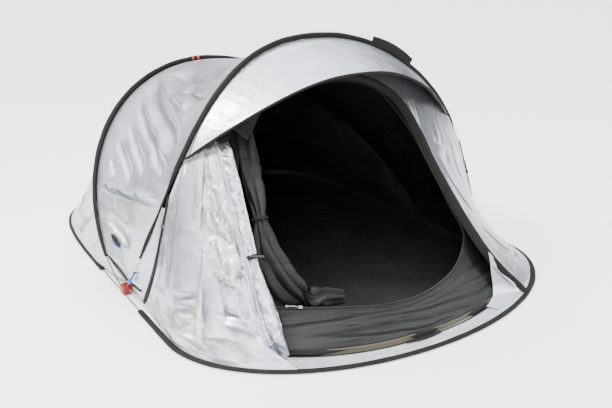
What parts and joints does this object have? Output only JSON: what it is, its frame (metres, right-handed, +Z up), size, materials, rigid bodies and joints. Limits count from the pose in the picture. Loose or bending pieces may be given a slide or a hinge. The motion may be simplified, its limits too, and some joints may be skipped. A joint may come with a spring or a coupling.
{
  "type": "camping tent",
  "caption": "Pop-up tent: sprung hoops in fabric sleeves, silver flysheet with hood, black inner tent, front door tied back, zips that slide.",
  "frame": {"origin": "centre of the footprint on the ground", "axes": "+X to the right seen from the door, +Y from the door to the rear, +Z up"},
  "size_m": [1.9514, 2.477, 1.1202],
  "materials": {
    "fly": "silver coated polyester, soft sheen, creased",
    "sleeve": "dark webbing and sleeve cloth, matte",
    "inner": "black polyester, slight sheen on the folds",
    "groundsheet": "woven polyethylene, dull",
    "rod": "dark glass-fibre rod",
    "red_plastic": "moulded red plastic",
    "blue_plastic": "moulded blue plastic",
    "metal": "bare metal zip slider",
    "cord": "light braided cord"
  },
  "bodies": {
    "tent": {"base_front_rod": "rod", "base_front_sleeve": "sleeve", "base_rear_rod": "rod", "base_rear_sleeve": "sleeve", "carry_handle": "sleeve", "corner_elastic_left": "cord", "corner_elastic_right": "cord", "door_zip_band": "sleeve", "fly_front_left": "fly", "fly_front_right": "fly", "fly_gusset_left": "fly", "fly_gusset_right": "fly", "fly_hood": "fly", "fly_lintel": "fly", "fly_rear_wall": "fly", "fly_roof": "fly", "fly_skirt": "fly", "fold_mark_1": "red_plastic", "fold_mark_2": "red_plastic", "front_arch_rod": "rod", "front_arch_sleeve": "sleeve", "groundsheet": "groundsheet", "hem_binding_left": "sleeve", "hem_binding_right": "sleeve", "hem_webbing_left": "sleeve", "hem_webbing_right": "sleeve", "hood_binding": "sleeve", "inner_door": "inner", "inner_front_wall": "inner", "inner_rear_wall": "inner", "inner_roof": "inner", "inner_tie_strap": "sleeve", "inner_zip": "sleeve", "junction_left": "red_plastic", "junction_right": "red_plastic", "peg_loop_front": "sleeve", "rear_arch_rod": "rod", "rear_arch_sleeve": "sleeve", "ring_stud_left": "sleeve", "ring_stud_right": "sleeve", "side_tab_left": "blue_plastic", "side_tab_right": "blue_plastic", "side_zip_left": "sleeve", "side_zip_right": "sleeve", "skirt_zip": "sleeve"},
    "fly_door": {"fly_door": "fly", "door_tie_strap": "sleeve"},
    "door_toggle": {"door_toggle": "sleeve"},
    "zip_slider_left": {"zip_slider_left": "metal"},
    "zip_pull_left": {"zip_pull_left": "sleeve"},
    "zip_slider_right": {"zip_slider_right": "metal"},
    "zip_pull_right": {"zip_pull_right": "sleeve"},
    "door_zip_slider": {"door_zip_slider": "metal", "door_pull_cord": "cord"},
    "inner_zip_slider": {"inner_zip_slider": "metal", "inner_pull_cord": "cord"},
    "pull_ring_left": {"pull_ring_left": "blue_plastic"},
    "pull_ring_right": {"pull_ring_right": "blue_plastic"}
  },
  "joints": [
    {"name": "fly_door_swing", "type": "hinge", "parent": "tent", "child": "fly_door", "pos_m": [-0.612, -0.408, 0.752], "axis": [-0.0888, -0.6308, -0.7708], "range_deg": [0, 40]},
    {"name": "door_toggle_turn", "type": "hinge", "parent": "fly_door", "child": "door_toggle", "pos_m": [-0.64122, -0.77214, 0.36421], "axis": [-0.5054, -0.6358, 0.5834], "range_deg": [-45, 45]},
    {"name": "zip_left_slide", "type": "slide", "parent": "tent", "child": "zip_slider_left", "axis": [-0.2992, -0.0784, -0.951], "range_m": [-0.095, 0.085]},
    {"name": "zip_pull_left_lift", "type": "hinge", "parent": "zip_slider_left", "child": "zip_pull_left", "pos_m": [-0.8537, -0.39617, 0.40947], "axis": [-0.3102, 0.9505, 0.0193], "range_deg": [0, 150]},
    {"name": "zip_right_slide", "type": "slide", "parent": "tent", "child": "zip_slider_right", "axis": [0.2992, -0.0784, -0.951], "range_m": [-0.095, 0.085]},
    {"name": "zip_pull_right_lift", "type": "hinge", "parent": "zip_slider_right", "child": "zip_pull_right", "pos_m": [0.8537, -0.39617, 0.40947], "axis": [-0.3102, -0.9505, -0.0193], "range_deg": [0, 150]},
    {"name": "door_zip_slide", "type": "slide", "parent": "tent", "child": "door_zip_slider", "axis": [0.7934, -0.6087, 0], "range_m": [0, 0.08]},
    {"name": "inner_zip_slide", "type": "slide", "parent": "tent", "child": "inner_zip_slider", "axis": [0.8459, -0.5322, -0.0349], "range_m": [-0.07, 0.035]},
    {"name": "pull_ring_left_turn", "type": "hinge", "parent": "tent", "child": "pull_ring_left", "pos_m": [-0.93177, -0.22793, 0.14931], "axis": [-0.9507, 0, 0.3102], "range_deg": [-25, 25]},
    {"name": "pull_ring_right_turn", "type": "hinge", "parent": "tent", "child": "pull_ring_right", "pos_m": [0.93177, -0.22793, 0.14931], "axis": [0.9507, 0, 0.3102], "range_deg": [-25, 25]}
  ]
}
